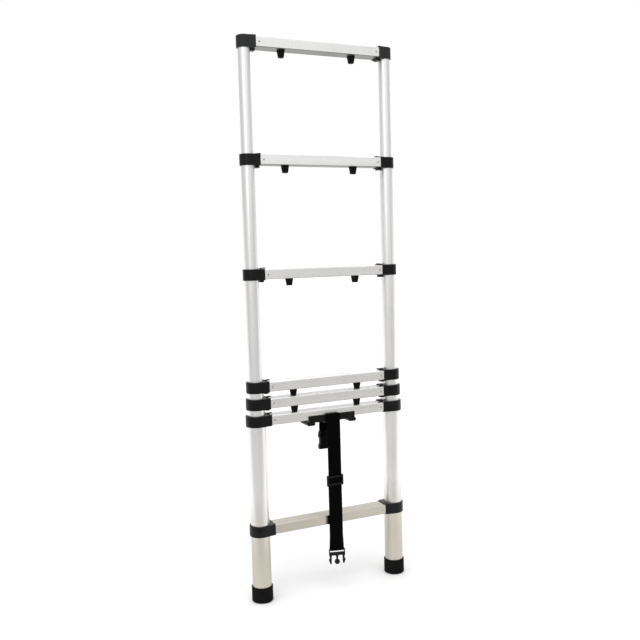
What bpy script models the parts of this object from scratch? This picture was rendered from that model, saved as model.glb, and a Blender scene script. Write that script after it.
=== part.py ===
"""Telescoping ladder: seven rungs on two stiles of six round sliding tubes.

Metres, +Z up. X runs across the ladder, the stiles stand at -X (left) and +X (right), and -Y is the front.
Section 1 carries the feet and rungs 1 and 2. Each section above it slides in the one below and carries one
rung at its top. Sections 2 and 3 are pushed in, and sections 4, 5 and 6 are drawn out.
"""
import math

import bmesh
import bpy

# Sizes of the whole ladder
STILE_SPAN = 0.414          # between the axes of the two stiles
FIRST_RUNG_Z = 0.198        # middle of the lowest rung
OPEN_PITCH = 0.300          # between rungs when drawn out
CLOSED_PITCH = 0.0453       # between rungs when pushed in
SECTIONS = 6
DRAWN_OUT = (4, 5, 6)
GAP = 0.0003                # between pieces that touch

# Stile tubes
TUBE_DIAMETER = 0.052       # the lowest, widest tube
TUBE_STEP = 0.004           # each tube is this much thinner than the one below
TUBE_WALL = 0.0015
SLIDING_LENGTH = 0.385      # tubes 2 to 6
TUBE_SIDES = 48

# Rungs
RUNG_HEIGHT = 0.0254
RUNG_DEPTH = 0.044
RUNG_WALL = 0.0015
RUNG_CORNER = 0.001
GROOVE_WIDTH = 0.002
GROOVE_DEPTH = 0.0005
GROOVES = 4

# Brackets and top caps
BRACKET_HEIGHT = 0.030
CAP_RISE = 0.002            # a top cap is taller than a bracket by this
BRACKET_WALL = 0.0035
BRACKET_REACH = 0.010       # from the tube's surface to the rung's end
BRACKET_EDGE = 0.001        # chamfer
BLOCK_PROUD = 0.0015        # the block stands out from the rung's faces by this
RIM = 0.0015                # the ring that guides the next tube
RIM_CLEARANCE = 0.0006
TONGUE_LENGTH = 0.016       # the part inside the rung
LIP_DROP = 0.0055           # the lug under the block, which pushes the next latch as the ladder closes
LIP_WIDTH = 0.016
LIP_REACH = 0.002           # past the rung's end
CAP_ROOF = 0.003

# Lock latches
PIN_DIAMETER = 0.006
PIN_TAIL = 0.013            # pin length behind the bracket's face
LATCH_IN = 0.0023           # travel into the sliding tube's hole
LATCH_OUT = 0.0012          # travel away from it
LATCH_PLATE = 0.003
PLATE_SET = 0.0043          # from the fixed tube's surface to the plate
TAB_LENGTH = 0.017
TAB_WIDTH = 0.009
TAB_HEIGHT = 0.004
TAB_REAR = 0.003            # rear edge of the tab
TAB_SET = 0.001
TAB_CLEARANCE = 0.0004
PIN_CLEARANCE = 0.0004

# Feet
FOOT_WALL = 0.003
FOOT_HEIGHT = 0.042
FOOT_FLOOR = 0.008
FOOT_BEVEL = 0.003

# Buffers under rungs 3 to 7
BUFFER_INSET = 0.077        # from the rung's end to the buffer's middle
BUFFER_TOP = 0.019
BUFFER_BOTTOM = 0.014
BUFFER_REST = 0.0006        # left between a buffer and the rung that it rests on when pushed in
BUFFER_ROUND = 0.004
STEM_DIAMETER = 0.0074
STEM_LENGTH = 0.005

# Carry strap on rung 2
STRAP_X = 0.006             # right of the ladder's middle
SADDLE_LENGTH = 0.140
SADDLE_WALL = 0.003
SADDLE_BASE = 0.0075
SADDLE_RISE = 0.012         # up the rung's faces from its underside
LUG_LENGTH = 0.044
LUG_DEPTH = 0.012
LUG_DROP = 0.0035
WEB_WIDTH = 0.040
WEB_THICKNESS = 0.0016
WEB_HANG = 0.033            # in front of the ladder's middle plane
WEB_SET = 0.001             # below the saddle's upper edge
WEB_END_Z = 0.1165
SLIDER_Z = 0.311
SLIDER_WIDTH = 0.049
SLIDER_HEIGHT = 0.032
SLIDER_THICKNESS = 0.006
SLOT_CLEARANCE = 0.0004
MALE_WIDTH = 0.046
MALE_THICKNESS = 0.008
MALE_BASE = 0.019           # height of the frame that the webbing goes round
PRONG_LENGTH = 0.030
PRONG_WIDTH = 0.009
STEM_WIDTH = 0.006
FEMALE_WIDTH = 0.048
FEMALE_HEIGHT = 0.054
FEMALE_THICKNESS = 0.014
FEMALE_WALL = 0.0025
FEMALE_MOUTH = 0.032        # depth of the socket
FEMALE_Y = 0.0175
FEMALE_WEB = 0.028          # webbing between the saddle and the buckle

SIDES = {"left": -1, "right": 1}


# Places worked out from the sizes

def tube_radius(section):
    return (TUBE_DIAMETER - (section - 1) * TUBE_STEP) / 2


def rung_z(rung):
    """Height of a rung's middle. Rung n + 1 is carried by section n."""
    z = FIRST_RUNG_Z + (OPEN_PITCH if rung > 1 else 0)
    for section in range(2, rung):
        z += OPEN_PITCH if section in DRAWN_OUT else CLOSED_PITCH
    return z


def section_of(rung):
    return max(1, rung - 1)


def reach_of(rung):
    """From the stile's axis to the bracket's flat end."""
    return tube_radius(section_of(rung)) + BRACKET_REACH


def rung_end(rung):
    return STILE_SPAN / 2 - reach_of(rung) - GAP


def stile_x(side):
    return SIDES[side] * STILE_SPAN / 2


# Materials

def make_material(name, colour, roughness, metallic=0.0):
    material = bpy.data.materials.new(name)
    material.use_nodes = True
    shader = material.node_tree.nodes["Principled BSDF"]
    shader.inputs["Base Color"].default_value = (*colour, 1)
    shader.inputs["Roughness"].default_value = roughness
    shader.inputs["Metallic"].default_value = metallic
    material.diffuse_color = (*colour, 1)
    return material


# Mesh helpers

def add_object(name, mesh_builder, material, parent=None, origin=(0, 0, 0)):
    """Make an object from a bmesh given in world coordinates, with its origin at a world point."""
    mesh = bpy.data.meshes.new(name)
    shape = mesh_builder
    bmesh.ops.recalc_face_normals(shape, faces=shape.faces)
    bmesh.ops.translate(shape, verts=shape.verts, vec=[-c for c in origin])
    shape.to_mesh(mesh)
    shape.free()
    piece = bpy.data.objects.new(name, mesh)
    bpy.context.scene.collection.objects.link(piece)
    piece.location = origin
    if material:
        mesh.materials.append(material)
    if parent:
        piece.parent = parent
        piece.location = [o - p for o, p in zip(origin, parent.location)]
    return piece


def loft(shape, loops, closed=False):
    """Join loops of equal length with quads, and cap the ends unless the loft is closed on itself."""
    rings = [[shape.verts.new(p) for p in loop] for loop in loops]
    count = len(rings[0])
    pairs = list(zip(rings, rings[1:]))
    if closed:
        pairs.append((rings[-1], rings[0]))
    for low, high in pairs:
        for i in range(count):
            j = (i + 1) % count
            shape.faces.new((low[i], low[j], high[j], high[i]))
    if not closed:
        shape.faces.new(rings[0][::-1])
        shape.faces.new(rings[-1])


def circle(radius, z, x=0.0, y=0.0, sides=TUBE_SIDES):
    steps = [2 * math.pi * i / sides for i in range(sides)]
    return [(x + radius * math.cos(a), y + radius * math.sin(a), z) for a in steps]


def add_turned(shape, profile, x, closed, sides=TUBE_SIDES):
    """Turn a profile of (radius, z) points about a vertical axis."""
    loft(shape, [circle(radius, z, x, sides=sides) for radius, z in profile], closed)


def add_box(shape, low, high):
    corners = [(low[0], low[1]), (high[0], low[1]), (high[0], high[1]), (low[0], high[1])]
    loft(shape, [[(x, y, z) for x, y in corners] for z in (low[2], high[2])])


def add_span(shape, side, near, far, y_range, z_range):
    """A box between two distances from a stile's axis, measured towards the ladder's middle."""
    ends = sorted(stile_x(side) - SIDES[side] * u for u in (near, far))
    add_box(shape, (ends[0], y_range[0], z_range[0]), (ends[1], y_range[1], z_range[1]))


def add_pin(shape, side, near, far, radius, z, sides=12):
    """A round bar along X between two distances from a stile's axis."""
    loops = []
    for u in (near, far):
        x = stile_x(side) - SIDES[side] * u
        steps = [2 * math.pi * (i + 0.5) / sides for i in range(sides)]
        loops.append([(x, radius * math.cos(a), z + radius * math.sin(a)) for a in steps])
    loft(shape, loops)


def rounded_box(width, depth, radius, x, y, z, per_corner=3):
    """One loop of a rounded rectangle in a level plane."""
    points = []
    for quarter, (sx, sy) in enumerate(((1, 1), (-1, 1), (-1, -1), (1, -1))):
        for step in range(per_corner + 1):
            angle = (quarter + step / per_corner) * math.pi / 2
            points.append((x + sx * (width / 2 - radius) + radius * math.cos(angle),
                           y + sy * (depth / 2 - radius) + radius * math.sin(angle), z))
    return points


def combine(piece, operation, tool_shape, name):
    """Cut a piece with a helper solid, or join the helper to it."""
    tool = add_object(name, tool_shape, None)
    tool.hide_render = True
    tool.display_type = "WIRE"
    modifier = piece.modifiers.new(name, "BOOLEAN")
    modifier.operation = operation
    modifier.solver = "EXACT"
    modifier.object = tool


# Stile tubes

def build_tube(section, side, material, parent):
    radius = tube_radius(section)
    top = rung_z(section + 1) + BRACKET_HEIGHT / 2 - RIM - GAP
    bottom = top - SLIDING_LENGTH
    if section == 1:
        bottom = FOOT_FLOOR + GAP
    if section == SECTIONS:
        top = rung_z(section + 1) + BRACKET_HEIGHT / 2 + CAP_RISE - CAP_ROOF - GAP
    inner = radius - TUBE_WALL
    shape = bmesh.new()
    profile = [(radius, bottom), (radius, top), (inner, top), (inner, bottom)]
    add_turned(shape, profile, stile_x(side), closed=True)
    name = f"tube_{section}_{side}"
    piece = add_object(name, shape, material, parent, (stile_x(side), 0, top))

    holes = bmesh.new()
    hole = PIN_DIAMETER / 2 + PIN_CLEARANCE
    if section < SECTIONS:
        add_pin(holes, side, inner / 2, radius + TUBE_WALL, hole, rung_z(section + 1))
    if section > 1:
        add_pin(holes, side, inner / 2, radius + TUBE_WALL, hole, rung_z(section + 1) - OPEN_PITCH)
    combine(piece, "DIFFERENCE", holes, f"cut_holes_{section}_{side}")


# Rungs

def rung_profile(half_depth, half_height, corner, grooves):
    """Section of a rung in Y and Z, with anti-slip grooves along its top."""
    points = [(-half_depth, -half_height + corner), (-half_depth + corner, -half_height),
              (half_depth - corner, -half_height), (half_depth, -half_height + corner),
              (half_depth, half_height - corner), (half_depth - corner, half_height)]
    pitch = 2 * half_depth / (GROOVES + 1)
    for number in range(GROOVES):
        middle = half_depth - (number + 1) * pitch
        for across, down in ((GROOVE_WIDTH / 2, 0), (GROOVE_WIDTH / 4, grooves),
                             (-GROOVE_WIDTH / 4, grooves), (-GROOVE_WIDTH / 2, 0)):
            points.append((middle + across, half_height - down))
    points += [(-half_depth + corner, half_height), (-half_depth, half_height - corner)]
    return points


def build_rung(rung, material, parent):
    z = rung_z(rung)
    end = rung_end(rung)
    outer = rung_profile(RUNG_DEPTH / 2, RUNG_HEIGHT / 2, RUNG_CORNER, GROOVE_DEPTH)
    low_y = -RUNG_DEPTH / 2 + RUNG_WALL
    low_z = -RUNG_HEIGHT / 2 + RUNG_WALL
    inner = [(min(max(y, low_y), -low_y), min(max(h, low_z), -low_z)) for y, h in outer]
    shape = bmesh.new()
    loops = [[(x, y, z + h) for y, h in profile]
             for x, profile in ((-end, outer), (end, outer), (end, inner), (-end, inner))]
    loft(shape, loops, closed=True)
    bmesh.ops.remove_doubles(shape, verts=shape.verts, dist=1e-6)
    piece = add_object(f"rung_{rung}", shape, material, parent, (0, 0, z))
    if rung > 2:
        holes = bmesh.new()
        for sign in SIDES.values():
            x = sign * (end - BUFFER_INSET)
            low = z - RUNG_HEIGHT / 2
            radius = STEM_DIAMETER / 2 + GAP
            loft(holes, [circle(radius, h, x, sides=12) for h in (low - RUNG_WALL, low + 2 * RUNG_WALL)])
        combine(piece, "DIFFERENCE", holes, f"cut_stem_holes_{rung}")


# Brackets

def bracket_loop(side, outer, half, reach, z):
    """Outline of a bracket: round about the tube, with straight sides to the rung's end."""
    arc = [math.radians(75 + 210 * i / 30) for i in range(31)]
    points = [(outer * math.cos(a), outer * math.sin(a)) for a in arc]
    points += [(reach, -half), (reach, half)]
    return [(stile_x(side) - SIDES[side] * u, y, z) for u, y in points]


def build_bracket(rung, side, material, parent):
    z = rung_z(rung)
    radius = tube_radius(section_of(rung))
    is_cap = rung == SECTIONS + 1
    low = z - BRACKET_HEIGHT / 2
    high = z + BRACKET_HEIGHT / 2 + (CAP_RISE if is_cap else 0)
    outer = radius + BRACKET_WALL
    half = RUNG_DEPTH / 2 + BLOCK_PROUD
    reach = reach_of(rung)
    edge = BRACKET_EDGE * (2 if is_cap else 1)
    levels = ((low, BRACKET_EDGE), (low + BRACKET_EDGE, 0), (high - edge, 0), (high, edge))
    shape = bmesh.new()
    loft(shape, [bracket_loop(side, outer - c, half - c, reach, h) for h, c in levels])
    name = f"top_cap_{side}" if is_cap else f"bracket_{rung}_{side}"
    piece = add_object(name, shape, material, parent, (stile_x(side), 0, z))

    # The tongue inside the rung, and the lip under the block
    extra = bmesh.new()
    tongue_y = RUNG_DEPTH / 2 - RUNG_WALL - GAP
    tongue_z = RUNG_HEIGHT / 2 - RUNG_WALL - GAP
    add_span(extra, side, reach - BRACKET_EDGE, reach + TONGUE_LENGTH,
             (-tongue_y, tongue_y), (z - tongue_z, z + tongue_z))
    if rung > 2:
        add_span(extra, side, radius + BRACKET_WALL / 2, reach + LIP_REACH,
                 (-LIP_WIDTH / 2, LIP_WIDTH / 2), (low - LIP_DROP, low + BRACKET_EDGE))
    combine(piece, "UNION", extra, f"add_tongue_{rung}_{side}")

    # The bore for the tube
    bore = bmesh.new()
    past = BRACKET_EDGE
    wide = radius + GAP
    narrow = tube_radius(section_of(rung) + 1) + RIM_CLEARANCE
    if is_cap:
        profile = [(wide, low - past), (wide, high - CAP_ROOF)]
    elif rung == 1:
        profile = [(wide, low - past), (wide, high + past)]
    else:
        profile = [(wide, low - past), (wide, high - RIM), (narrow, high - RIM), (narrow, high + past)]
    add_turned(bore, profile, stile_x(side), closed=False)
    combine(piece, "DIFFERENCE", bore, f"cut_bore_{rung}_{side}")

    # The way for the latch
    if 1 < rung <= SECTIONS:
        way = bmesh.new()
        pin = PIN_DIAMETER / 2 + GAP
        add_pin(way, side, radius / 2, reach + TONGUE_LENGTH + past, pin, z)
        combine(piece, "DIFFERENCE", way, f"cut_pin_way_{rung}_{side}")
        slot = bmesh.new()
        add_span(slot, side, radius + PLATE_SET - LATCH_IN - GAP,
                 radius + PLATE_SET + LATCH_PLATE + LATCH_OUT + GAP,
                 (-pin, TAB_REAR + GAP), (z - pin, high + past))
        combine(piece, "DIFFERENCE", slot, f"cut_plate_slot_{rung}_{side}")


# Lock latches

def build_latch(rung, side, material, parent):
    z = rung_z(rung)
    fixed = tube_radius(rung - 1)
    sliding = tube_radius(rung)
    top = z + BRACKET_HEIGHT / 2 + TAB_CLEARANCE
    pin = PIN_DIAMETER / 2
    shape = bmesh.new()
    add_span(shape, side, fixed + PLATE_SET, fixed + PLATE_SET + LATCH_PLATE,
             (-pin, TAB_REAR), (z - pin, top + TAB_HEIGHT / 2))
    tip = sliding + GAP
    origin = (stile_x(side) - SIDES[side] * tip, 0, z)
    piece = add_object(f"latch_{rung}_{side}", shape, material, parent, origin)
    bar = bmesh.new()
    add_pin(bar, side, tip, reach_of(rung) + PIN_TAIL, pin, z)
    combine(piece, "UNION", bar, f"add_pin_{rung}_{side}")
    tab = bmesh.new()
    add_span(tab, side, fixed + TAB_SET, fixed + TAB_SET + TAB_LENGTH,
             (TAB_REAR - TAB_WIDTH, TAB_REAR), (top, top + TAB_HEIGHT))
    combine(piece, "UNION", tab, f"add_tab_{rung}_{side}")


# Feet and buffers

def build_foot(side, material, parent):
    bore = tube_radius(1) + GAP
    outer = tube_radius(1) + FOOT_WALL
    profile = [(outer - FOOT_BEVEL, 0), (outer, FOOT_BEVEL), (outer, FOOT_HEIGHT - BRACKET_EDGE),
               (outer - BRACKET_EDGE, FOOT_HEIGHT), (bore, FOOT_HEIGHT), (bore, FOOT_FLOOR)]
    shape = bmesh.new()
    add_turned(shape, profile, stile_x(side), closed=False)
    add_object(f"foot_{side}", shape, material, parent, (stile_x(side), 0, 0))


def build_buffer(rung, side, material, parent):
    x = SIDES[side] * (rung_end(rung) - BUFFER_INSET)
    top = rung_z(rung) - RUNG_HEIGHT / 2 - GAP
    bottom = top - (CLOSED_PITCH - RUNG_HEIGHT - GAP - BUFFER_REST)
    stem = STEM_DIAMETER / 2
    shape = bmesh.new()
    loops = [rounded_box(BUFFER_BOTTOM, BUFFER_BOTTOM, BUFFER_ROUND, x, 0, bottom),
             rounded_box(BUFFER_TOP, BUFFER_TOP, BUFFER_ROUND, x, 0, top),
             rounded_box(2 * stem, 2 * stem, stem, x, 0, top),
             rounded_box(2 * stem, 2 * stem, stem, x, 0, top + STEM_LENGTH)]
    loft(shape, loops)
    bmesh.ops.remove_doubles(shape, verts=shape.verts, dist=1e-6)
    add_object(f"buffer_{rung}_{side}", shape, material, parent, (x, 0, top))


# Carry strap

def saddle_bottom():
    return rung_z(2) - RUNG_HEIGHT / 2 - GAP - SADDLE_BASE


def build_saddle(material, parent):
    inner = RUNG_DEPTH / 2 + GAP
    outer = inner + SADDLE_WALL
    low = saddle_bottom()
    floor = low + SADDLE_BASE
    high = floor + SADDLE_RISE
    end = SADDLE_LENGTH / 2
    chamfer = SADDLE_WALL / 2
    profile = [(-outer, low + chamfer), (-outer + chamfer, low), (outer - chamfer, low),
               (outer, low + chamfer), (outer, high - chamfer), (outer - chamfer, high), (inner, high),
               (inner, floor), (-inner, floor), (-inner, high), (-outer + chamfer, high),
               (-outer, high - chamfer)]
    shape = bmesh.new()
    loft(shape, [[(x, y, z) for y, z in profile] for x in (STRAP_X - end, STRAP_X + end)])
    piece = add_object("strap_saddle", shape, material, parent, (STRAP_X, 0, low))
    lugs = bmesh.new()
    for sign in (-1, 1):
        ends = sorted((sign * (outer - chamfer), sign * (outer - chamfer - LUG_DEPTH)))
        add_box(lugs, (STRAP_X - LUG_LENGTH / 2, ends[0], low - LUG_DROP),
                (STRAP_X + LUG_LENGTH / 2, ends[1], low + SADDLE_BASE / 2))
    combine(piece, "UNION", lugs, "add_lugs")


def web_path():
    """The strap's middle line in Y and Z: down the saddle's front face, then straight down."""
    face = -(RUNG_DEPTH / 2 + GAP + SADDLE_WALL + GAP + WEB_THICKNESS / 2)
    low = saddle_bottom()
    top = low + SADDLE_BASE + SADDLE_RISE - WEB_SET
    fall = [(face - (WEB_HANG + face) * share, low - drop)
            for share, drop in ((0.25, 0.010), (0.70, 0.026), (0.92, 0.042), (1.0, 0.062))]
    return [(face, top), (face, low + 0.002), *fall, (-WEB_HANG, WEB_END_Z)]


def build_webbing(material, parent):
    path = web_path()
    half = WEB_THICKNESS / 2
    end = WEB_WIDTH / 2
    front = []
    back = []
    for i, (y, z) in enumerate(path):
        y0, z0 = path[max(i - 1, 0)]
        y1, z1 = path[min(i + 1, len(path) - 1)]
        length = math.hypot(y1 - y0, z1 - z0)
        across = ((z1 - z0) / length * half, -(y1 - y0) / length * half)
        if i == 0:
            across = (-half, 0)
        front.append((y + across[0], z + across[1]))
        back.append((y - across[0], z - across[1]))
    profile = front + back[::-1]
    shape = bmesh.new()
    loft(shape, [[(x, y, z) for y, z in profile] for x in (STRAP_X - end, STRAP_X + end)])
    add_object("strap_webbing", shape, material, parent, (STRAP_X, path[0][0], path[0][1]))


def build_slider(material, parent):
    shape = bmesh.new()
    z = SLIDER_Z
    half = SLIDER_HEIGHT / 2
    round_off = SLIDER_THICKNESS / 3
    loops = [rounded_box(SLIDER_WIDTH - c, SLIDER_THICKNESS - c, round_off, STRAP_X, -WEB_HANG, h, 2)
             for h, c in ((z - half, 0.001), (z - half + 0.001, 0), (z + half - 0.001, 0), (z + half, 0.001))]
    loft(shape, loops)
    piece = add_object("strap_slider", shape, material, parent, (STRAP_X, -WEB_HANG, z))
    slot = bmesh.new()
    x = WEB_WIDTH / 2 + SLOT_CLEARANCE
    y = WEB_THICKNESS / 2 + SLOT_CLEARANCE
    add_box(slot, (STRAP_X - x, -WEB_HANG - y, z - SLIDER_HEIGHT),
            (STRAP_X + x, -WEB_HANG + y, z + SLIDER_HEIGHT))
    combine(piece, "DIFFERENCE", slot, "cut_slider_slot")


def build_male_buckle(material, parent):
    """The frame hangs on the end of the webbing, with two hooked prongs and a guide stem below it."""
    top = WEB_END_Z - GAP
    base = top - MALE_BASE
    half = MALE_WIDTH / 2
    tip = base - PRONG_LENGTH
    stem = STEM_WIDTH / 2
    right = [(stem, base), (half - PRONG_WIDTH, base), (half - PRONG_WIDTH, tip + 0.006),
             (half - PRONG_WIDTH + 0.003, tip), (half - 0.002, tip), (half + 0.002, tip + 0.010),
             (half - 0.003, tip + 0.012), (half - 0.002, base), (half, base + 0.003), (half, top - 0.002),
             (half - 0.002, top)]
    left = [(-x, z) for x, z in reversed(right)]
    outline = right + left + [(-stem, tip + 0.006), (stem, tip + 0.006)]
    shape = bmesh.new()
    low = -WEB_HANG - MALE_THICKNESS / 2
    loft(shape, [[(STRAP_X + x, y, z) for x, z in outline] for y in (low, low + MALE_THICKNESS)])
    piece = add_object("buckle_male", shape, material, parent, (STRAP_X, -WEB_HANG, top))
    slot = bmesh.new()
    add_box(slot, (STRAP_X - half + 0.004, low - 0.01, top - 0.011),
            (STRAP_X + half - 0.004, low + 0.02, top - 0.004))
    combine(piece, "DIFFERENCE", slot, "cut_male_slot")


def build_female_buckle(material, parent):
    """A socket that opens downwards, on a short piece of webbing."""
    top = saddle_bottom() - LUG_DROP - GAP - FEMALE_WEB
    shape = bmesh.new()
    depth = FEMALE_THICKNESS
    waist = FEMALE_WIDTH - 0.004
    levels = ((top - FEMALE_HEIGHT, waist, depth - 0.002), (top - FEMALE_HEIGHT + 0.003, FEMALE_WIDTH, depth),
              (top - FEMALE_HEIGHT + 0.008, waist, depth), (top - FEMALE_HEIGHT / 2, FEMALE_WIDTH, depth),
              (top - 0.006, FEMALE_WIDTH - 0.002, depth), (top, waist, depth / 2))
    loft(shape, [rounded_box(w, d, 0.003, STRAP_X, FEMALE_Y, z, 2) for z, w, d in levels])
    piece = add_object("buckle_female", shape, material, parent, (STRAP_X, FEMALE_Y, top))
    web = bmesh.new()
    half = WEB_THICKNESS / 2
    add_box(web, (STRAP_X - WEB_WIDTH / 2, FEMALE_Y - half, top - 0.001),
            (STRAP_X + WEB_WIDTH / 2, FEMALE_Y + half, top + FEMALE_WEB))
    combine(piece, "UNION", web, "add_female_web")
    mouth = bmesh.new()
    x = waist / 2 - FEMALE_WALL
    y = FEMALE_THICKNESS / 2 - FEMALE_WALL
    low = top - FEMALE_HEIGHT
    add_box(mouth, (STRAP_X - x, FEMALE_Y - y, low - 0.005),
            (STRAP_X + x, FEMALE_Y + y, low + FEMALE_MOUTH))
    combine(piece, "DIFFERENCE", mouth, "cut_mouth")


# The whole ladder

def clear_scene():
    for old in list(bpy.data.objects):
        bpy.data.objects.remove(old, do_unlink=True)


def make_carrier(name, z):
    carrier = bpy.data.objects.new(name, None)
    carrier.location = (0, 0, z)
    bpy.context.scene.collection.objects.link(carrier)
    return carrier


def main():
    clear_scene()
    aluminium = make_material("satin_aluminium", (0.80, 0.79, 0.77), 0.35, 1.0)
    black_plastic = make_material("black_plastic", (0.02, 0.02, 0.021), 0.5)
    grey_plastic = make_material("dark_grey_plastic", (0.045, 0.048, 0.047), 0.5)
    latch_plastic = make_material("latch_black", (0.03, 0.03, 0.03), 0.45)
    rubber = make_material("black_rubber", (0.015, 0.015, 0.015), 0.8)
    webbing = make_material("black_webbing", (0.012, 0.012, 0.013), 0.9)

    carriers = {s: make_carrier(f"carrier_{s}", rung_z(s + 1)) for s in range(1, SECTIONS + 1)}
    for section in range(1, SECTIONS + 1):
        for side in SIDES:
            build_tube(section, side, aluminium, carriers[section])
    for rung in range(1, SECTIONS + 2):
        parent = carriers[section_of(rung)]
        build_rung(rung, aluminium, parent)
        for side in SIDES:
            build_bracket(rung, side, grey_plastic if rung > SECTIONS else black_plastic, parent)
            if rung > 2:
                build_buffer(rung, side, rubber, parent)
            if 1 < rung <= SECTIONS:
                build_latch(rung, side, latch_plastic, parent)
    for side in SIDES:
        build_foot(side, rubber, carriers[1])
    build_saddle(black_plastic, carriers[1])
    build_webbing(webbing, carriers[1])
    build_slider(black_plastic, carriers[1])
    build_male_buckle(black_plastic, carriers[1])
    build_female_buckle(black_plastic, carriers[1])


main()
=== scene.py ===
"""Looks of the telescoping ladder: materials, fittings, carry strap, camera and light.

Metres, +Z up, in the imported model's frame: the left stile stands at -X, and -Y is the front.
"""
import math

import bmesh
import bpy
from mathutils import Matrix, Vector


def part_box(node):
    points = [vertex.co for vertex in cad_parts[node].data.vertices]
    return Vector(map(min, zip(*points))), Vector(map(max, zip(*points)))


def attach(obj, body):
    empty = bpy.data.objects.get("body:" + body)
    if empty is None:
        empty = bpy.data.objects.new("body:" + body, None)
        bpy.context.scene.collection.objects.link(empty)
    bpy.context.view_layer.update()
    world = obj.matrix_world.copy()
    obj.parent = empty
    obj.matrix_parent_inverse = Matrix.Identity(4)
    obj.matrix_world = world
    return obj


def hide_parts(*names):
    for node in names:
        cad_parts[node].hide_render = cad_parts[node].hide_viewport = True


SECTIONS = 6
RUNGS = SECTIONS + 1
SIDES = {"left": -1, "right": 1}

# Camera
CAMERA_PLACE = (-0.9373, -2.0080, 0.9475)
CAMERA_YAW = 24.757
CAMERA_PITCH = 4.926
CAMERA_ROLL = -1.5985
CAMERA_LENS = 45.244

REPLACED = ("strap_webbing", "strap_slider", "buckle_male", "buckle_female")

# Studio
BACKDROP_WAY = (0.4188, 0.9081, 0.0)
SIDE_WALL = 0.60            # brightness of the walls at the two sides
FRONT_LOW = 0.46            # brightness of the room in front of the ladder, up to eye level
PAPER_EDGE = 0.38           # the floor stays white this far in front of the ladder,
PAPER_FADE = 0.30           # and turns to pale grey over this distance
PAPER_REACH = 40
PAPER_WHITE = (0.90, 0.90, 0.90)
PAPER_GREY = (0.38, 0.37, 0.355)
KEY_PLACE = (-1.9, -2.3, 1.9)
KEY_TARGET = (0, 0, 0.8)
KEY_SIZE = (0.7, 1.8)
KEY_POWER = 6
SUN_STRENGTH = 1.15
SUN_SPREAD = 50
SUN_TILT = (12, -8, 0)

# Aluminium
TUBE_LIGHT = (0.95, 0.95, 0.95)
TUBE_DARK = (0.88, 0.88, 0.88)
RUNG_LIGHT = (0.96, 0.96, 0.96)
RUNG_DARK = (0.89, 0.89, 0.885)
# Painted reflection: rung 1 gets the lower ladder's warmer, darker tint in full
RUNG_1_PAINTED_REFLECTION_LIGHT = (0.57, 0.53, 0.465)
RUNG_1_PAINTED_REFLECTION_DARK = (0.51, 0.475, 0.415)
# Painted shade: the rungs' downward faces get a much darker aluminium that stands in for the shade under
# them
PAINTED_SHADE_BELOW_LIGHT = (0.28, 0.275, 0.265)
PAINTED_SHADE_BELOW_DARK = (0.20, 0.197, 0.19)
# Painted reflection: the aluminium is tinted warmer and darker towards the floor, standing in for the
# floor's reflection
PAINTED_LOW_REFLECTION_TINT = (0.62, 0.575, 0.495)
PAINTED_LOW_REFLECTION_TOP = 0.31             # the painted warm, darker reflection starts at this height
PAINTED_LOW_REFLECTION_FULL = 0.12            # and is complete at this one
PAINTED_SHADE_BELOW_SLOPE = -0.7      # faces whose normals point further down than this get the painted shade

# Edges of the pieces that keep their shape
SOFT_EDGES = {"tube": 0.0004, "rung": 0.0003, "bracket": 0.0007, "top": 0.0009, "foot": 0.0008,
              "buffer": 0.0008, "strap": 0.0006}

# Lock latches
STILE_X = 0.207
LOWEST_TUBE = 0.052         # outer diameter
TUBE_STEP = 0.004           # each section is this much narrower than the one below
PIN_RADIUS = 0.003
PIN_SIDES = 20
PLATE_SET = 0.0043          # from the tube to the plate behind the pin
PLATE_HALF = 0.003
PLATE_THICKNESS = 0.003
TAB_SET = 0.0012            # from the tube to the thumb tab
TAB_LENGTH = 0.0168
TAB_Y = (-0.0058, 0.0028)
TAB_PROFILE = [(0.0000, 0.0012), (0.0030, 0.0022), (0.0045, 0.0018), (0.0060, 0.0026),
               (0.0075, 0.0022), (0.0090, 0.0029), (0.0105, 0.0025), (0.0120, 0.0031),
               (0.0150, 0.0031), (TAB_LENGTH, 0.0016)]

# Rivets through the rungs' faces
RIVET_RADIUS = 0.0026
RIVET_HEIGHT = 0.0009
RIVET_INSET = 0.009         # from the rung's end
RIVET_SIDES = 20
RIVET_PROFILE = ((1.0, -0.2), (1.0, 0.35), (0.85, 0.75), (0.5, 1.0), (0.42, 0.55))

# Carry strap
STRAP_X = 0.006
WEB_WIDTH = 0.040
WEB_THICKNESS = 0.0016
WEB_HANG = 0.033            # in front of the ladder's middle plane
WEB_ROUTE = [(-0.0255, 0.4982), (-0.0292, 0.4988), (-0.0316, 0.4972), (-0.0324, 0.4930),
             (-0.0326, 0.4850), (-0.0328, 0.4600), (-0.0330, 0.4200), (-0.0330, 0.3600),
             (-0.0330, 0.2400), (-0.0330, 0.1165)]
WEB_TWIST = 14              # turn of the strap's lower end towards the left, degrees
TWIST_TOP = 0.154           # the turn starts at this height
TWIST_RUN = 0.034           # and is complete this far below it
RETURN_GAP = 0.0024         # the doubled-back webbing lies this far behind the strap
FRONT_STRIP_THICKNESS = 0.0014
SLIDER_Z = 0.311
MALE_TOP = 0.1162
FEMALE_Y = 0.0175
FEMALE_TOP = 0.4457

# Side prong of the male buckle: out from the middle, and down from the prong's root
PRONG = [(0.0150, 0.000), (0.0156, -0.006), (0.0160, -0.012), (0.0158, -0.017), (0.0160, -0.0215),
         (0.0166, -0.0245), (0.0182, -0.0262), (0.0200, -0.0250), (0.0218, -0.0205),
         (0.0233, -0.0155), (0.0236, -0.0130), (0.0228, -0.0116), (0.0212, -0.0110),
         (0.0211, -0.0070), (0.0216, -0.003), (0.0222, 0.000)]

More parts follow.
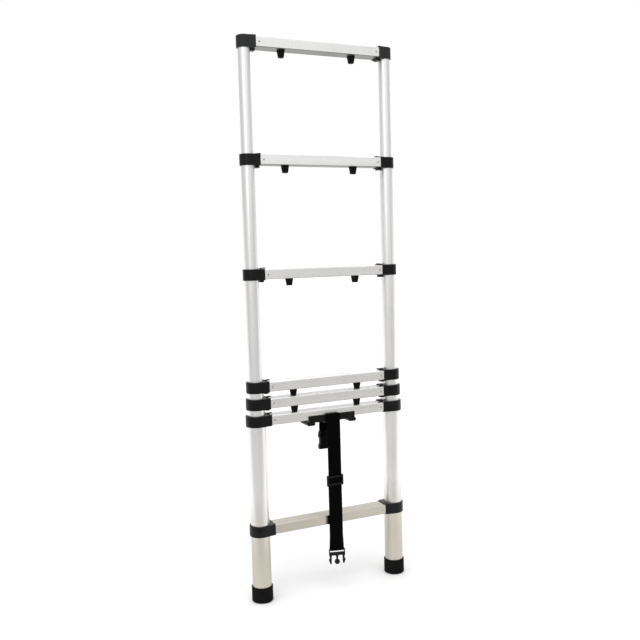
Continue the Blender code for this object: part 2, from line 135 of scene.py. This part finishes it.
# Female buckle: depth below its top, width and thickness, outside and then inside its mouth
FEMALE_OUTSIDE = [(0.0000, 0.0400, 0.0080), (0.0012, 0.0424, 0.0108), (0.0040, 0.0440, 0.0128),
                  (0.0075, 0.0450, 0.0140), (0.0110, 0.0478, 0.0140), (0.0150, 0.0486, 0.0140),
                  (0.0190, 0.0482, 0.0140), (0.0215, 0.0462, 0.0138), (0.0240, 0.0432, 0.0136),
                  (0.0300, 0.0424, 0.0136), (0.0380, 0.0428, 0.0138), (0.0415, 0.0452, 0.0140),
                  (0.0445, 0.0484, 0.0142), (0.0500, 0.0488, 0.0142), (0.0534, 0.0478, 0.0136),
                  (0.0540, 0.0464, 0.0126)]
FEMALE_INSIDE = [(0.0540, 0.0428, 0.0090), (0.0535, 0.0420, 0.0084), (0.0250, 0.0390, 0.0080),
                 (0.0240, 0.0300, 0.0060)]


# Materials

def new_material(name):
    material = bpy.data.materials.new(name)
    material.use_nodes = True
    tree = material.node_tree
    return material, tree, tree.nodes["Principled BSDF"]


def add_node(tree, kind, inputs=None, **settings):
    node = tree.nodes.new(kind)
    for key, value in settings.items():
        setattr(node, key, value)
    for key, value in (inputs or {}).items():
        if isinstance(value, bpy.types.NodeSocket):
            tree.links.new(value, node.inputs[key])
        else:
            node.inputs[key].default_value = value
    return node


def stretched_noise(tree, stretch, detail=3.0, roughness=0.55):
    """Noise in object space, with one scale for each axis."""
    where = add_node(tree, "ShaderNodeTexCoord")
    mapping = add_node(tree, "ShaderNodeMapping", {"Vector": where.outputs["Object"], "Scale": stretch})
    return add_node(tree, "ShaderNodeTexNoise", {
        "Vector": mapping.outputs["Vector"], "Scale": 1.0, "Detail": detail, "Roughness": roughness})


def spread(tree, source, low, high, start=0.3, end=0.7):
    """Map a grey value onto a range of numbers."""
    node = add_node(tree, "ShaderNodeMapRange", {
        "Value": source, "From Min": start, "From Max": end, "To Min": low, "To Max": high})
    return node.outputs["Result"]


def ramp(tree, value, start, end):
    """A smooth step from 0 to 1."""
    node = add_node(tree, "ShaderNodeMapRange", {
        "Value": value, "From Min": start, "From Max": end, "To Min": 0.0, "To Max": 1.0},
        interpolation_type="SMOOTHSTEP")
    return node.outputs["Result"]


def calculate(tree, operation, first, second):
    return add_node(tree, "ShaderNodeMath", {0: first, 1: second}, operation=operation).outputs[0]


def along_backdrop(tree, where):
    """How far a point or a direction reaches towards the backdrop."""
    node = add_node(tree, "ShaderNodeVectorMath", {0: where, 1: BACKDROP_WAY}, operation="DOT_PRODUCT")
    return node.outputs["Value"]


def colour_between(tree, factor, first, second):
    mix = add_node(tree, "ShaderNodeMix", data_type="RGBA")
    tree.links.new(factor, mix.inputs["Factor"])
    mix.inputs[6].default_value = (*first, 1)
    mix.inputs[7].default_value = (*second, 1)
    return mix.outputs[2]


def bump(tree, shader, height, strength, distance, previous=None):
    inputs = {"Height": height, "Strength": strength, "Distance": distance}
    if previous:
        inputs["Normal"] = previous
    node = add_node(tree, "ShaderNodeBump", inputs)
    tree.links.new(node.outputs["Normal"], shader.inputs["Normal"])
    return node.outputs["Normal"]


def painted_low_reflection(tree, tone, cloud):
    """Painted reflection: the lower part of the ladder made warmer and darker, standing in for the floor it
    reflects.
    """
    where = add_node(tree, "ShaderNodeTexCoord").outputs["Object"]
    height = add_node(tree, "ShaderNodeSeparateXYZ", {"Vector": where}).outputs["Z"]
    drift = calculate(tree, "ADD", height, spread(tree, cloud, -0.02, 0.02))
    tinted = add_node(tree, "ShaderNodeMix", data_type="RGBA", blend_type="MULTIPLY")
    tree.links.new(ramp(tree, drift, PAINTED_LOW_REFLECTION_TOP, PAINTED_LOW_REFLECTION_FULL), tinted.inputs["Factor"])
    tree.links.new(tone, tinted.inputs[6])
    tinted.inputs[7].default_value = (*PAINTED_LOW_REFLECTION_TINT, 1)
    return tinted.outputs[2]


def make_aluminium(name, along, light, dark, rough=0.33, painted_reflection=True):
    """Satin anodised extrusion: fine die lines along one axis, a soft cloudiness, and rubbed marks, with
    the painted low reflection unless it is turned off.
    """
    material, tree, shader = new_material(name)
    lines = [1300.0, 1300.0, 1300.0]
    lines["XYZ".index(along)] = 4.0
    grain = stretched_noise(tree, lines, 4.0, 0.6).outputs["Fac"]
    bands = [75.0, 75.0, 75.0]
    bands["XYZ".index(along)] = 1.2
    band = stretched_noise(tree, bands, 2.0, 0.5).outputs["Fac"]
    cloud = stretched_noise(tree, (13, 13, 6), 3.0).outputs["Fac"]
    rubs = [45.0, 45.0, 45.0]
    rubs["XYZ".index(along)] = 700.0
    rub = stretched_noise(tree, rubs, 2.0, 0.5).outputs["Fac"]
    tone = colour_between(tree, spread(tree, band, 0, 1), light, dark)
    # painted reflection: warmer and darker towards the bottom
    if painted_reflection:
        tone = painted_low_reflection(tree, tone, cloud)
    tree.links.new(tone, shader.inputs["Base Color"])
    shader.inputs["Metallic"].default_value = 0.9
    gloss = calculate(tree, "ADD", spread(tree, grain, -0.04, 0.04),
                      spread(tree, cloud, rough - 0.05, rough + 0.05))
    tree.links.new(gloss, shader.inputs["Roughness"])
    first = bump(tree, shader, grain, 0.12, 0.0004)
    bump(tree, shader, rub, 0.04, 0.0003, first)
    return material


def make_plastic(name, colour, worn, roughness, specular=0.2, grain_scale=2600.0, grain_strength=0.12):
    """Moulded plastic with a spark-eroded grain, a little cloudiness in its gloss, and paler patches."""
    material, tree, shader = new_material(name)
    grain = stretched_noise(tree, (grain_scale,) * 3, 2.0).outputs["Fac"]
    cloud = stretched_noise(tree, (55.0,) * 3, 4.0, 0.6).outputs["Fac"]
    tree.links.new(colour_between(tree, spread(tree, cloud, 0, 1, 0.35, 0.8), colour, worn),
                   shader.inputs["Base Color"])
    tree.links.new(spread(tree, cloud, roughness - 0.06, roughness + 0.08), shader.inputs["Roughness"])
    shader.inputs["Specular IOR Level"].default_value = specular
    bump(tree, shader, grain, grain_strength, 0.0003)
    return material


def make_webbing(name):
    """Woven polyester: warp ribs along the strap crossed by the weft."""
    material, tree, shader = new_material(name)
    where = add_node(tree, "ShaderNodeTexCoord").outputs["Object"]
    ribs = add_node(tree, "ShaderNodeTexWave", {"Vector": where, "Scale": 110.0, "Distortion": 0.6,
                                                "Detail": 1.0}, bands_direction="X").outputs["Fac"]
    picks = add_node(tree, "ShaderNodeTexWave", {"Vector": where, "Scale": 190.0, "Distortion": 0.8,
                                                 "Detail": 1.0}, bands_direction="Z").outputs["Fac"]
    weave = calculate(tree, "MULTIPLY", ribs, picks)
    fuzz = stretched_noise(tree, (900, 900, 900), 3.0).outputs["Fac"]
    tree.links.new(colour_between(tree, spread(tree, weave, 0, 1, 0, 1), (0.0008, 0.0008, 0.0009),
                                  (0.004, 0.004, 0.0042)), shader.inputs["Base Color"])
    shader.inputs["Roughness"].default_value = 0.86
    shader.inputs["Specular IOR Level"].default_value = 0.03
    first = bump(tree, shader, weave, 0.55, 0.0006)
    bump(tree, shader, fuzz, 0.15, 0.0002, first)
    return material


def make_steel(name):
    """Bright rivet steel with a turned face."""
    material, tree, shader = new_material(name)
    grain = stretched_noise(tree, (1500, 1500, 1500), 3.0).outputs["Fac"]
    tree.links.new(colour_between(tree, spread(tree, grain, 0, 1), (0.36, 0.36, 0.36),
                                  (0.50, 0.50, 0.49)), shader.inputs["Base Color"])
    shader.inputs["Metallic"].default_value = 1.0
    tree.links.new(spread(tree, grain, 0.3, 0.45), shader.inputs["Roughness"])
    return material


def make_floor_material(name):
    """Matt paper that runs from white behind the ladder to pale grey in front of it."""
    material, tree, shader = new_material(name)
    where = add_node(tree, "ShaderNodeTexCoord").outputs["Object"]
    fade = ramp(tree, along_backdrop(tree, where), -PAPER_EDGE, -PAPER_EDGE - PAPER_FADE)
    tree.links.new(colour_between(tree, fade, PAPER_WHITE, PAPER_GREY), shader.inputs["Base Color"])
    shader.inputs["Roughness"].default_value = 0.9
    return material


def make_materials():
    """One material for each kind of piece."""
    black = make_plastic("black_plastic", (0.0025, 0.0025, 0.0027), (0.006, 0.006, 0.0062), 0.30, 0.2)
    return {
        "tube": make_aluminium("tube_aluminium", "Z", TUBE_LIGHT, TUBE_DARK),
        "rung": make_aluminium("rung_aluminium", "X", RUNG_LIGHT, RUNG_DARK, 0.28),
        # painted reflection: rung 1 warmer and darker all over
        "rung_1_painted_reflection": make_aluminium("rung_1_painted_reflection_aluminium", "X", RUNG_1_PAINTED_REFLECTION_LIGHT, RUNG_1_PAINTED_REFLECTION_DARK, 0.30, False),
        # painted shade on the rungs' downward faces
        "underside": make_aluminium("rung_underside", "X", PAINTED_SHADE_BELOW_LIGHT, PAINTED_SHADE_BELOW_DARK, 0.42, False),
        "bracket": black,
        "top": make_plastic("cap_plastic", (0.017, 0.0185, 0.018), (0.027, 0.0295, 0.0285), 0.45, 0.22),
        "foot": make_plastic("foot_rubber", (0.004, 0.004, 0.004), (0.009, 0.009, 0.0085), 0.72, 0.06,
                             1400.0, 0.3),
        "buffer": make_plastic("buffer_rubber", (0.005, 0.005, 0.005), (0.010, 0.010, 0.0095), 0.66,
                               0.08, 1600.0, 0.25),
        "latch": make_plastic("latch_plastic", (0.010, 0.010, 0.010), (0.02, 0.02, 0.02), 0.36, 0.4),
        "strap": black,
        "webbing": make_webbing("webbing"),
    }


# Mesh helpers

def smooth(mesh, angle=35):
    """Smooth shading, with edges sharper than an angle left crisp."""
    mesh.polygons.foreach_set("use_smooth", [True] * len(mesh.polygons))
    mesh.set_sharp_from_angle(angle=math.radians(angle))
    mesh.update()


def add_bevel(piece, width, segments=3, angle=40):
    bevel = piece.modifiers.new("soft_edges", "BEVEL")
    bevel.width = width
    bevel.segments = segments
    bevel.limit_method = "ANGLE"
    bevel.angle_limit = math.radians(angle)
    bevel.harden_normals = False


def loft(shape, loops, closed=False):
    """Join loops of equal length with quads, and cap the ends unless the loft is closed on itself."""
    rings = [[shape.verts.new(p) for p in loop] for loop in loops]
    pairs = list(zip(rings, rings[1:]))
    if closed:
        pairs.append((rings[-1], rings[0]))
    for low, high in pairs:
        for i in range(len(low)):
            j = (i + 1) % len(low)
            shape.faces.new((low[i], low[j], high[j], high[i]))
    if not closed:
        shape.faces.new(rings[0][::-1])
        shape.faces.new(rings[-1])


def rounded_outline(corners, per_corner=5):
    """Round each corner of an outline of (x, y, radius) points."""
    points = []
    count = len(corners)
    for i, (x, y, radius) in enumerate(corners):
        here = Vector((x, y))
        before = (Vector(corners[i - 1][:2]) - here).normalized()
        after = (Vector(corners[(i + 1) % count][:2]) - here).normalized()
        if radius <= 0:
            points.append((x, y))
            continue
        half = before.angle(after) / 2
        setback = radius / math.tan(half)
        centre = here + (before + after).normalized() * (radius / math.sin(half))
        start = here + before * setback - centre
        end = here + after * setback - centre
        sweep = start.angle_signed(end)
        for step in range(per_corner + 1):
            turn = Matrix.Rotation(-sweep * step / per_corner, 2)
            points.append(tuple(centre + turn @ start))
    return points


def new_piece(name, shape, material, body, nodes=(), bevel=0.0):
    """Turn a bmesh in world coordinates into a piece that rides on a body."""
    bmesh.ops.remove_doubles(shape, verts=shape.verts, dist=1e-6)
    bmesh.ops.recalc_face_normals(shape, faces=shape.faces)
    mesh = bpy.data.meshes.new(name)
    shape.to_mesh(mesh)
    shape.free()
    mesh.materials.append(material)
    piece = bpy.data.objects.new(name, mesh)
    bpy.context.scene.collection.objects.link(piece)
    smooth(mesh)
    if bevel:
        add_bevel(piece, bevel)
    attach(piece, body)
    if nodes:
        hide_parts(*nodes)
    return piece


def section_of(rung):
    return f"section_{max(1, rung - 1)}"


# CAD pieces that keep their shape

def dress_nodes(materials):
    """Give each CAD node its material, soft edges and smooth shading, with painted shade on the rungs'
    downward faces.
    """
    for name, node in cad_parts.items():
        kind = name.split("_")[0]
        if kind not in SOFT_EDGES or name in REPLACED:
            continue
        node.data.materials.clear()
        # rung 1 gets the painted warmer, darker reflection all over
        node.data.materials.append(materials["rung_1_painted_reflection" if name == "rung_1" else kind])
        # The rungs' downward faces get the darker aluminium: painted shade.
        if kind == "rung":
            node.data.materials.append(materials["underside"])
            for polygon in node.data.polygons:
                polygon.material_index = int(polygon.normal.z < PAINTED_SHADE_BELOW_SLOPE)
        smooth(node.data, 30)
        add_bevel(node, SOFT_EDGES[kind], 2)


# Small fittings

def circle(sides):
    """Cosine and sine of evenly spaced angles."""
    angles = [2 * math.pi * i / sides for i in range(sides)]
    return [(math.cos(angle), math.sin(angle)) for angle in angles]


def add_rivets(material):
    """Two rivets on the front face and two on the back face of each rung, near its ends."""
    for rung in range(1, RUNGS + 1):
        low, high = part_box(f"rung_{rung}")
        z = (low.z + high.z) / 2
        shape = bmesh.new()
        for x in (low.x + RIVET_INSET, high.x - RIVET_INSET):
            for face_y, outward in ((low.y, -1), (high.y, 1)):
                loft(shape, [[(x + RIVET_RADIUS * radius * across,
                               face_y + outward * RIVET_HEIGHT * rise,
                               z + RIVET_RADIUS * radius * up) for across, up in circle(RIVET_SIDES)]
                             for radius, rise in RIVET_PROFILE])
        new_piece(f"rivets_{rung}", shape, material, section_of(rung))


# Lock latches

def tube_radius(section):
    return (LOWEST_TUBE - (section - 1) * TUBE_STEP) / 2


def add_pin(shape, tip, tail, inward, z):
    """A round pin along X with a chamfer at each end."""
    ends = [(tip, PIN_RADIUS - 0.0008), (tip + inward * 0.0008, PIN_RADIUS),
            (tail - inward * 0.0005, PIN_RADIUS), (tail, PIN_RADIUS - 0.0005)]
    loft(shape, [[(x, radius * across, z + radius * up) for across, up in circle(PIN_SIDES)]
                 for x, radius in ends])


def add_plate(shape, near, far, low, high):
    corners = [(near, -PLATE_HALF), (far, -PLATE_HALF), (far, PLATE_HALF), (near, PLATE_HALF)]
    loft(shape, [[(x, y, z) for x, y in corners] for z in (low, high)])


def add_tab(shape, start, inward, base):
    """A low wedge with three ridges and a flat end."""
    outline = [(start + inward * u, base + h) for u, h in TAB_PROFILE]
    outline += [(start + inward * TAB_LENGTH, base + 0.0002), (start, base + 0.0002)]
    loft(shape, [[(x, y, z) for x, z in outline] for y in TAB_Y])


def build_latch(rung, side, material):
    """A round lock pin, the plate above it, and the thumb tab on the plate."""
    name = f"latch_{rung}_{side}"
    low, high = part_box(name)
    inward = -SIDES[side]
    tip, tail = (low.x, high.x) if inward > 0 else (high.x, low.x)
    z = low.z + PIN_RADIUS
    tube = SIDES[side] * STILE_X + inward * tube_radius(rung - 1)
    plate = sorted((tube + inward * PLATE_SET, tube + inward * (PLATE_SET + PLATE_THICKNESS)))
    shape = bmesh.new()
    add_pin(shape, tip, tail, inward, z)
    add_plate(shape, *plate, z - PLATE_HALF, high.z - PLATE_HALF)
    add_tab(shape, tube + inward * TAB_SET, inward, high.z - 0.0040)
    new_piece(f"thumb_{name}", shape, material, name, [name], bevel=0.0003)


# Carry strap

def smooth_route(points, per_span=8):
    """A Catmull-Rom curve through a few points."""
    ends = [points[0], *points, points[-1]]
    route = []
    for a, b, c, d in zip(ends, ends[1:], ends[2:], ends[3:]):
        for step in range(per_span):
            t = step / per_span
            route.append(tuple(0.5 * (2 * q + (r - p) * t + (2 * p - 5 * q + 4 * r - s) * t * t
                                      + (3 * q - p - 3 * r + s) * t ** 3)
                               for p, q, r, s in zip(a, b, c, d)))
    return route + [points[-1]]


def web_strip(shape, route, width, thickness, columns=10, turn_at=lambda z: 0.0):
    """A flat strip of webbing along a route of (y, z) points, with thin selvedges and a gentle turn."""
    section = []
    half = width / 2
    for i in range(columns + 1):
        x = -half + width * i / columns
        section.append((x, thickness / 2 * (0.45 if i in (0, columns) else 1.0)))
    outline = section + [(x, -t) for x, t in reversed(section)]
    loops = []
    for i, (y, z) in enumerate(route):
        before = route[max(i - 1, 0)]
        after = route[min(i + 1, len(route) - 1)]
        length = math.dist(before, after)
        across = ((after[1] - before[1]) / length, -(after[0] - before[0]) / length)
        angle = math.radians(turn_at(z))
        loops.append([(STRAP_X + x * math.cos(angle) - across[0] * t * math.sin(angle),
                       y + x * math.sin(angle) + across[0] * t * math.cos(angle), z + across[1] * t)
                      for x, t in outline])
    loft(shape, loops)


def strap_turn(z):
    """The strap hangs square to the rung, and its last few centimetres turn a little to the left."""
    return -WEB_TWIST * min(1.0, max(0.0, (TWIST_TOP - z) / TWIST_RUN))


def refine(route, step=0.004):
    """Divide each span of a route into steps of about the same length."""
    fine = []
    for start, end in zip(route, route[1:]):
        count = max(1, round(math.dist(start, end) / step))
        fine += [tuple(a + (b - a) * i / count for a, b in zip(start, end)) for i in range(count)]
    return fine + [route[-1]]


def build_webbing(material):
    """The strap, and the webbing that goes round the male buckle's bar and back up to the slider."""
    route = refine(smooth_route(WEB_ROUTE))
    shape = bmesh.new()
    web_strip(shape, route, WEB_WIDTH, WEB_THICKNESS, turn_at=strap_turn)
    web = new_piece("webbing", shape, material, "section_1", ["strap_webbing"])

    behind = -WEB_HANG + RETURN_GAP
    bar = -WEB_HANG + 0.0003
    loop = [(bar - 0.0030 * math.cos(a), MALE_TOP - 0.0022 - 0.0034 * math.sin(a))
            for a in [math.pi * i / 8 for i in range(9)]]
    back = [(behind + 0.0004, MALE_TOP + 0.006), (behind, MALE_TOP + 0.016), (behind, 0.20), (behind, 0.28),
            (behind, SLIDER_Z + 0.006)]
    shape = bmesh.new()
    web_strip(shape, refine(smooth_route([(-WEB_HANG - 0.0022, MALE_TOP + 0.0030), *loop, *back])),
              WEB_WIDTH - 0.0006, WEB_THICKNESS, turn_at=strap_turn)
    back = new_piece("webbing_return", shape, material, "section_1")
    return web, back, route


def upright_slab(shape, outline, front, thickness):
    """A flat plate: an outline in X and Z, extruded in Y."""
    loft(shape, [[(x, y, z) for x, z in outline] for y in (front, front + thickness)])


def upright_ring(shape, outer, inner, front, thickness):
    """A flat ring between two outlines with the same number of points."""
    back = front + thickness
    loft(shape, [[(x, front, z) for x, z in outer], [(x, back, z) for x, z in outer],
                 [(x, back, z) for x, z in inner], [(x, front, z) for x, z in inner]], closed=True)


def box_corners(x0, x1, z0, z1, radius):
    return rounded_outline([(x0, z0, radius), (x1, z0, radius), (x1, z1, radius), (x0, z1, radius)])


def rounded_block(shape, middle, size, radius):
    """A block with rounded vertical edges and softened ends."""
    x, y, z = middle
    width, depth, height = size
    ends = [(-0.5, 0.35), (-0.42, 0.08), (-0.36, 0.0), (0.36, 0.0), (0.42, 0.08), (0.5, 0.35)]
    loops = []
    for rise, inset in ends:
        shrink = 2 * radius * inset
        outline = box_corners(x - (width - shrink) / 2, x + (width - shrink) / 2,
                              y - (depth - shrink) / 2, y + (depth - shrink) / 2, radius * (1 - inset))
        loops.append([(px, py, z + height * rise) for px, py in outline])
    loft(shape, loops)


def build_slider(material):
    """A three-bar slider: two rounded cheeks, two bars in front, and one in the middle behind."""
    shape = bmesh.new()
    for side in (-1, 1):
        middle = (STRAP_X + side * 0.0223, -WEB_HANG, SLIDER_Z)
        rounded_block(shape, middle, (0.0050, 0.0080, 0.030), 0.0024)
    for rise, y, height in ((0.0105, -WEB_HANG - 0.0031, 0.0052), (-0.0105, -WEB_HANG - 0.0031, 0.0052),
                            (0, -WEB_HANG + 0.0039, 0.0046)):
        outline = [(y - 0.0009, -height / 2 + 0.0008), (y, -height / 2), (y + 0.0009, -height / 2 + 0.0008),
                   (y + 0.0009, height / 2 - 0.0008), (y, height / 2), (y - 0.0009, height / 2 - 0.0008)]
        loft(shape, [[(STRAP_X + x, py, SLIDER_Z + rise + pz) for py, pz in outline]
                     for x in (-0.0222, 0.0222)])
    return new_piece("slider_bars", shape, material, "slider", ["strap_slider"])


def turned(shape, degrees):
    """Turn a shape about the strap's own middle line."""
    middle = Vector((STRAP_X, -WEB_HANG, 0))
    turn = Matrix.Rotation(math.radians(degrees), 3, "Z")
    bmesh.ops.rotate(shape, verts=shape.verts, cent=middle, matrix=turn)


def prong_outline(side):
    """A side prong: a curved arm with a barb on its outer edge and a rounded tip."""
    return [(STRAP_X + side * x, MALE_TOP - 0.0180 + z) for x, z in PRONG]


def build_male_buckle(material):
    """A frame with a slot for the webbing, two barbed prongs, and a guide stem with a round head."""
    front = -WEB_HANG - 0.004
    shape = bmesh.new()
    outer = box_corners(STRAP_X - 0.0228, STRAP_X + 0.0228, MALE_TOP - 0.0190, MALE_TOP - 0.0005, 0.0022)
    inner = box_corners(STRAP_X - 0.0203, STRAP_X + 0.0203, MALE_TOP - 0.0102, MALE_TOP - 0.0042, 0.0012)
    upright_ring(shape, outer, inner, front + 0.0012, 0.0056)
    for side in (-1, 1):
        upright_slab(shape, prong_outline(side), front + 0.0010, 0.0060)
    stem = [(STRAP_X - 0.0052, MALE_TOP - 0.0175), (STRAP_X - 0.0030, MALE_TOP - 0.0230),
            (STRAP_X - 0.0022, MALE_TOP - 0.0330), (STRAP_X + 0.0022, MALE_TOP - 0.0330),
            (STRAP_X + 0.0030, MALE_TOP - 0.0230), (STRAP_X + 0.0052, MALE_TOP - 0.0175)]
    upright_slab(shape, stem, front + 0.0018, 0.0044)
    head = [(STRAP_X + 0.0074 * across, MALE_TOP - 0.0375 + 0.0074 * up) for across, up in circle(24)]
    upright_slab(shape, head, front + 0.0012, 0.0056)
    turned(shape, -WEB_TWIST)
    return new_piece("male_buckle", shape, material, "section_1", ["buckle_male"], bevel=0.0007)


def female_loop(depth, width, thickness, radius):
    outline = box_corners(STRAP_X - width / 2, STRAP_X + width / 2, FEMALE_Y - thickness / 2,
                          FEMALE_Y + thickness / 2, radius)
    return [(x, y, FEMALE_TOP - depth) for x, y in outline]


def build_female_buckle(material):
    """A socket open at the bottom, waisted where the prongs show, with three ribs on each face."""
    shape = bmesh.new()
    rings = [female_loop(*level, min(0.0038, level[2] * 0.42)) for level in FEMALE_OUTSIDE]
    rings += [female_loop(*level, 0.0018) for level in FEMALE_INSIDE]
    loft(shape, rings)
    for side in (-1, 1):
        for rise in (0.0275, 0.0305, 0.0335):
            y = FEMALE_Y + side * 0.0068
            outline = box_corners(STRAP_X - 0.0130, STRAP_X + 0.0130, FEMALE_TOP - rise - 0.0006,
                                  FEMALE_TOP - rise + 0.0006, 0.0005)
            upright_slab(shape, outline, y - 0.0006, 0.0012)
    new_piece("female_buckle", shape, material, "section_1", ["buckle_female"])


def build_buckle_loop(material):
    """The short doubled webbing that holds the female buckle under the saddle."""
    top = FEMALE_TOP + 0.0290
    low = FEMALE_TOP + 0.0005
    route = [(FEMALE_Y - 0.0028, top), (FEMALE_Y - 0.0026, low + 0.010), (FEMALE_Y - 0.0030, low + 0.002),
             (FEMALE_Y, low - 0.0015), (FEMALE_Y + 0.0030, low + 0.002), (FEMALE_Y + 0.0026, low + 0.010),
             (FEMALE_Y + 0.0028, top)]
    shape = bmesh.new()
    web_strip(shape, refine(smooth_route(route), 0.003), WEB_WIDTH, WEB_THICKNESS)
    new_piece("buckle_loop", shape, material, "section_1")


def build_saddle_details(material):
    """The boss that the strap hangs over, and a rounded lip under each end of the saddle."""
    low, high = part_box("strap_saddle")
    shape = bmesh.new()
    boss = rounded_outline([(low.y + 0.001, low.z + 0.001, 0), (low.y + 0.001, high.z + 0.0008, 0),
                            (-0.0310, high.z + 0.0008, 0.0022), (-0.0316, low.z + 0.001, 0.0022)])
    loft(shape, [[(STRAP_X + x, y, z) for y, z in boss] for x in (-0.0190, 0.0190)])
    for side in (-1, 1):
        outline = box_corners(-0.0115, 0.0115, low.z - 0.0045, low.z + 0.0060, 0.0044)
        upright_slab(shape, [(STRAP_X + side * 0.0630 + x, z) for x, z in outline], low.y + 0.0004,
                     high.y - low.y - 0.0008)
    new_piece("saddle_details", shape, material, "section_1", bevel=0.0007)


def build_front_strip(material):
    """A thin dark strip with the webbing's material on the front face of rung 1, behind the hanging strap.
    """
    low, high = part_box("rung_1")
    front = low.y - 0.0001
    outline = rounded_outline([(front, low.z, 0), (front, high.z, 0),
                               (front - FRONT_STRIP_THICKNESS, high.z - 0.0004, 0.0006),
                               (front - FRONT_STRIP_THICKNESS, low.z + 0.0004, 0.0006)])
    shape = bmesh.new()
    loft(shape, [[(STRAP_X + x, y, z) for y, z in outline] for x in (-WEB_WIDTH / 2, WEB_WIDTH / 2)])
    new_piece("rung_front_strip", shape, material, "section_1", bevel=0.0003)


def build_strap(materials):
    web, back, route = build_webbing(materials["webbing"])
    slider = build_slider(materials["strap"])
    male = build_male_buckle(materials["strap"])
    build_female_buckle(materials["strap"])
    build_buckle_loop(materials["webbing"])
    build_saddle_details(materials["strap"])
    build_front_strip(materials["webbing"])


# Studio

def build_camera():
    data = bpy.data.cameras.new("camera")
    data.lens = CAMERA_LENS
    data.sensor_width = 36
    camera = bpy.data.objects.new("camera", data)
    bpy.context.scene.collection.objects.link(camera)
    turn = (Matrix.Rotation(math.radians(-CAMERA_YAW), 4, "Z")
            @ Matrix.Rotation(math.radians(90 - CAMERA_PITCH), 4, "X")
            @ Matrix.Rotation(math.radians(CAMERA_ROLL), 4, "Z"))
    camera.matrix_world = Matrix.Translation(CAMERA_PLACE) @ turn
    bpy.context.scene.camera = camera


def add_area_light(name, place, target, size, power):
    data = bpy.data.lights.new(name, "AREA")
    data.shape = "RECTANGLE"
    data.size, data.size_y = size
    data.energy = power
    light = bpy.data.objects.new(name, data)
    bpy.context.scene.collection.objects.link(light)
    light.location = place
    light.rotation_euler = (Vector(target) - Vector(place)).to_track_quat("-Z", "Y").to_euler()


def make_world():
    """A white room: bright in front of the ladder, behind it and above, with a darker wall on each side."""
    world = bpy.data.worlds.new("studio")
    world.use_nodes = True
    tree = world.node_tree
    where = add_node(tree, "ShaderNodeTexCoord").outputs["Generated"]
    depth = along_backdrop(tree, where)
    behind = ramp(tree, depth, 0.60, 0.82)
    front = ramp(tree, depth, -0.35, -0.75)
    height = add_node(tree, "ShaderNodeSeparateXYZ", {"Vector": where}).outputs["Z"]
    above = ramp(tree, height, 0.35, 0.8)
    lit = calculate(tree, "MAXIMUM", calculate(tree, "MAXIMUM", behind, front), above)
    sides = colour_between(tree, lit, (SIDE_WALL,) * 3, (1.0, 1.0, 1.0))
    low = calculate(tree, "MULTIPLY", ramp(tree, height, 0.07, -0.06), ramp(tree, depth, 0.2, -0.3))
    mix = add_node(tree, "ShaderNodeMix", data_type="RGBA")
    tree.links.new(low, mix.inputs["Factor"])
    tree.links.new(sides, mix.inputs[6])
    mix.inputs[7].default_value = (FRONT_LOW, FRONT_LOW, FRONT_LOW, 1)
    background = tree.nodes["Background"]
    tree.links.new(mix.outputs[2], background.inputs["Color"])
    background.inputs["Strength"].default_value = 1.0
    return world


def add_sun(strength, spread_angle, tilt):
    data = bpy.data.lights.new("overhead", "SUN")
    data.energy = strength
    data.angle = math.radians(spread_angle)
    light = bpy.data.objects.new("overhead", data)
    bpy.context.scene.collection.objects.link(light)
    light.rotation_euler = [math.radians(angle) for angle in tilt]


def build_floor(name, material, reach):
    corners = [(-reach, -reach, 0), (reach, -reach, 0), (reach, reach, 0), (-reach, reach, 0)]
    mesh = bpy.data.meshes.new(name)
    mesh.from_pydata(corners, [], [(0, 1, 2, 3)])
    mesh.materials.append(material)
    floor = bpy.data.objects.new(name, mesh)
    bpy.context.scene.collection.objects.link(floor)


def build_studio():
    scene = bpy.context.scene
    scene.world = make_world()
    scene.view_settings.view_transform = "Standard"
    add_area_light("key", KEY_PLACE, KEY_TARGET, KEY_SIZE, KEY_POWER)
    add_sun(SUN_STRENGTH, SUN_SPREAD, SUN_TILT)
    build_floor("floor", make_floor_material("floor_paper"), PAPER_REACH)


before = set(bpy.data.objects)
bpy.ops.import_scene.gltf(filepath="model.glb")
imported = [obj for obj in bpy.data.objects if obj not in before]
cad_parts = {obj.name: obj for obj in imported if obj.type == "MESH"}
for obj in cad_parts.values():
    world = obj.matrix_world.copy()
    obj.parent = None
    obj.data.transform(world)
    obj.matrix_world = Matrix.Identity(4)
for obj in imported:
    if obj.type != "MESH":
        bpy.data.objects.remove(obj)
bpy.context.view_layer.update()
build_camera()
materials = make_materials()
dress_nodes(materials)
add_rivets(make_steel("rivet_steel"))
for rung in range(2, SECTIONS + 1):
    for side in SIDES:
        build_latch(rung, side, materials["latch"])
build_strap(materials)
build_studio()
